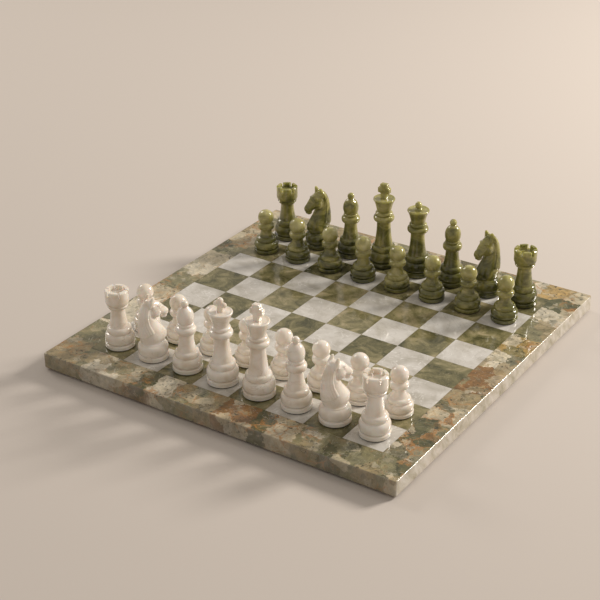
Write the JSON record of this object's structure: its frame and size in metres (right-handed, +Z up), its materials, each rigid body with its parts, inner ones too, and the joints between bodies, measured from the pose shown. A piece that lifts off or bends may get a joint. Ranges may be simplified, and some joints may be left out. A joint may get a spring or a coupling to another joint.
{
  "type": "chess set with board",
  "caption": "Stone chess set: turned and carved pale and green onyx chessmen with felt bases on a bordered board of inlaid light and green marble squares.",
  "frame": {"origin": "middle of the board's footprint on the surface it stands on", "axes": "+X along the white back rank from file a to file h, +Y from the white side to the green side, +Z up"},
  "size_m": [0.392, 0.392, 0.1103],
  "materials": {
    "white_onyx": "polished",
    "green_onyx": "polished",
    "light_marble": "polished",
    "green_marble": "polished",
    "border_stone": "polished",
    "backing_stone": "sawn",
    "felt": "matte",
    "pad_rubber": "matte"
  },
  "bodies": {
    "board": {"backing_slab": "backing_stone", "border_front": "border_stone", "border_back": "border_stone", "border_left": "border_stone", "border_right": "border_stone", "light_squares": "light_marble", "dark_squares": "green_marble", "board_pads": "pad_rubber"},
    "white_rook_a1": {"white_rook_a1": "white_onyx", "felt_white_rook_a1": "felt"},
    "white_knight_b1": {"white_knight_b1": "white_onyx", "felt_white_knight_b1": "felt"},
    "white_bishop_c1": {"white_bishop_c1": "white_onyx", "felt_white_bishop_c1": "felt"},
    "white_queen_d1": {"white_queen_d1": "white_onyx", "felt_white_queen_d1": "felt"},
    "white_king_e1": {"white_king_e1": "white_onyx", "felt_white_king_e1": "felt"},
    "white_bishop_f1": {"white_bishop_f1": "white_onyx", "felt_white_bishop_f1": "felt"},
    "white_knight_g1": {"white_knight_g1": "white_onyx", "felt_white_knight_g1": "felt"},
    "white_rook_h1": {"white_rook_h1": "white_onyx", "felt_white_rook_h1": "felt"},
    "white_pawn_a2": {"white_pawn_a2": "white_onyx"},
    "white_pawn_b2": {"white_pawn_b2": "white_onyx"},
    "white_pawn_c2": {"white_pawn_c2": "white_onyx"},
    "white_pawn_d2": {"white_pawn_d2": "white_onyx"},
    "white_pawn_e2": {"white_pawn_e2": "white_onyx"},
    "white_pawn_f2": {"white_pawn_f2": "white_onyx"},
    "white_pawn_g2": {"white_pawn_g2": "white_onyx"},
    "white_pawn_h2": {"white_pawn_h2": "white_onyx"},
    "green_rook_a8": {"green_rook_a8": "green_onyx", "felt_green_rook_a8": "felt"},
    "green_knight_b8": {"green_knight_b8": "green_onyx", "felt_green_knight_b8": "felt"},
    "green_bishop_c8": {"green_bishop_c8": "green_onyx", "felt_green_bishop_c8": "felt"},
    "green_king_d8": {"green_king_d8": "green_onyx", "felt_green_king_d8": "felt"},
    "green_queen_e8": {"green_queen_e8": "green_onyx", "felt_green_queen_e8": "felt"},
    "green_bishop_f8": {"green_bishop_f8": "green_onyx", "felt_green_bishop_f8": "felt"},
    "green_knight_g8": {"green_knight_g8": "green_onyx", "felt_green_knight_g8": "felt"},
    "green_rook_h8": {"green_rook_h8": "green_onyx", "felt_green_rook_h8": "felt"},
    "green_pawn_a7": {"green_pawn_a7": "green_onyx"},
    "green_pawn_b7": {"green_pawn_b7": "green_onyx"},
    "green_pawn_c7": {"green_pawn_c7": "green_onyx"},
    "green_pawn_d7": {"green_pawn_d7": "green_onyx"},
    "green_pawn_e7": {"green_pawn_e7": "green_onyx"},
    "green_pawn_f7": {"green_pawn_f7": "green_onyx"},
    "green_pawn_g7": {"green_pawn_g7": "green_onyx"},
    "green_pawn_h7": {"green_pawn_h7": "green_onyx"}
  },
  "joints": [
    {"name": "lift_white_rook_a1", "type": "slide", "parent": "board", "child": "white_rook_a1", "axis": [0, 0, 1], "range_m": [0, 0.11]},
    {"name": "lift_white_knight_b1", "type": "slide", "parent": "board", "child": "white_knight_b1", "axis": [0, 0, 1], "range_m": [0, 0.11]},
    {"name": "lift_white_bishop_c1", "type": "slide", "parent": "board", "child": "white_bishop_c1", "axis": [0, 0, 1], "range_m": [0, 0.11]},
    {"name": "lift_white_queen_d1", "type": "slide", "parent": "board", "child": "white_queen_d1", "axis": [0, 0, 1], "range_m": [0, 0.11]},
    {"name": "lift_white_king_e1", "type": "slide", "parent": "board", "child": "white_king_e1", "axis": [0, 0, 1], "range_m": [0, 0.11]},
    {"name": "lift_white_bishop_f1", "type": "slide", "parent": "board", "child": "white_bishop_f1", "axis": [0, 0, 1], "range_m": [0, 0.11]},
    {"name": "lift_white_knight_g1", "type": "slide", "parent": "board", "child": "white_knight_g1", "axis": [0, 0, 1], "range_m": [0, 0.11]},
    {"name": "lift_white_rook_h1", "type": "slide", "parent": "board", "child": "white_rook_h1", "axis": [0, 0, 1], "range_m": [0, 0.11]},
    {"name": "lift_white_pawn_a2", "type": "slide", "parent": "board", "child": "white_pawn_a2", "axis": [0, 0, 1], "range_m": [0, 0.11]},
    {"name": "lift_white_pawn_b2", "type": "slide", "parent": "board", "child": "white_pawn_b2", "axis": [0, 0, 1], "range_m": [0, 0.11]},
    {"name": "lift_white_pawn_c2", "type": "slide", "parent": "board", "child": "white_pawn_c2", "axis": [0, 0, 1], "range_m": [0, 0.11]},
    {"name": "lift_white_pawn_d2", "type": "slide", "parent": "board", "child": "white_pawn_d2", "axis": [0, 0, 1], "range_m": [0, 0.11]},
    {"name": "lift_white_pawn_e2", "type": "slide", "parent": "board", "child": "white_pawn_e2", "axis": [0, 0, 1], "range_m": [0, 0.11]},
    {"name": "lift_white_pawn_f2", "type": "slide", "parent": "board", "child": "white_pawn_f2", "axis": [0, 0, 1], "range_m": [0, 0.11]},
    {"name": "lift_white_pawn_g2", "type": "slide", "parent": "board", "child": "white_pawn_g2", "axis": [0, 0, 1], "range_m": [0, 0.11]},
    {"name": "lift_white_pawn_h2", "type": "slide", "parent": "board", "child": "white_pawn_h2", "axis": [0, 0, 1], "range_m": [0, 0.11]},
    {"name": "lift_green_rook_a8", "type": "slide", "parent": "board", "child": "green_rook_a8", "axis": [0, 0, 1], "range_m": [0, 0.11]},
    {"name": "lift_green_knight_b8", "type": "slide", "parent": "board", "child": "green_knight_b8", "axis": [0, 0, 1], "range_m": [0, 0.11]},
    {"name": "lift_green_bishop_c8", "type": "slide", "parent": "board", "child": "green_bishop_c8", "axis": [0, 0, 1], "range_m": [0, 0.11]},
    {"name": "lift_green_king_d8", "type": "slide", "parent": "board", "child": "green_king_d8", "axis": [0, 0, 1], "range_m": [0, 0.11]},
    {"name": "lift_green_queen_e8", "type": "slide", "parent": "board", "child": "green_queen_e8", "axis": [0, 0, 1], "range_m": [0, 0.11]},
    {"name": "lift_green_bishop_f8", "type": "slide", "parent": "board", "child": "green_bishop_f8", "axis": [0, 0, 1], "range_m": [0, 0.11]},
    {"name": "lift_green_knight_g8", "type": "slide", "parent": "board", "child": "green_knight_g8", "axis": [0, 0, 1], "range_m": [0, 0.11]},
    {"name": "lift_green_rook_h8", "type": "slide", "parent": "board", "child": "green_rook_h8", "axis": [0, 0, 1], "range_m": [0, 0.11]},
    {"name": "lift_green_pawn_a7", "type": "slide", "parent": "board", "child": "green_pawn_a7", "axis": [0, 0, 1], "range_m": [0, 0.11]},
    {"name": "lift_green_pawn_b7", "type": "slide", "parent": "board", "child": "green_pawn_b7", "axis": [0, 0, 1], "range_m": [0, 0.11]},
    {"name": "lift_green_pawn_c7", "type": "slide", "parent": "board", "child": "green_pawn_c7", "axis": [0, 0, 1], "range_m": [0, 0.11]},
    {"name": "lift_green_pawn_d7", "type": "slide", "parent": "board", "child": "green_pawn_d7", "axis": [0, 0, 1], "range_m": [0, 0.11]},
    {"name": "lift_green_pawn_e7", "type": "slide", "parent": "board", "child": "green_pawn_e7", "axis": [0, 0, 1], "range_m": [0, 0.11]},
    {"name": "lift_green_pawn_f7", "type": "slide", "parent": "board", "child": "green_pawn_f7", "axis": [0, 0, 1], "range_m": [0, 0.11]},
    {"name": "lift_green_pawn_g7", "type": "slide", "parent": "board", "child": "green_pawn_g7", "axis": [0, 0, 1], "range_m": [0, 0.11]},
    {"name": "lift_green_pawn_h7", "type": "slide", "parent": "board", "child": "green_pawn_h7", "axis": [0, 0, 1], "range_m": [0, 0.11]}
  ]
}
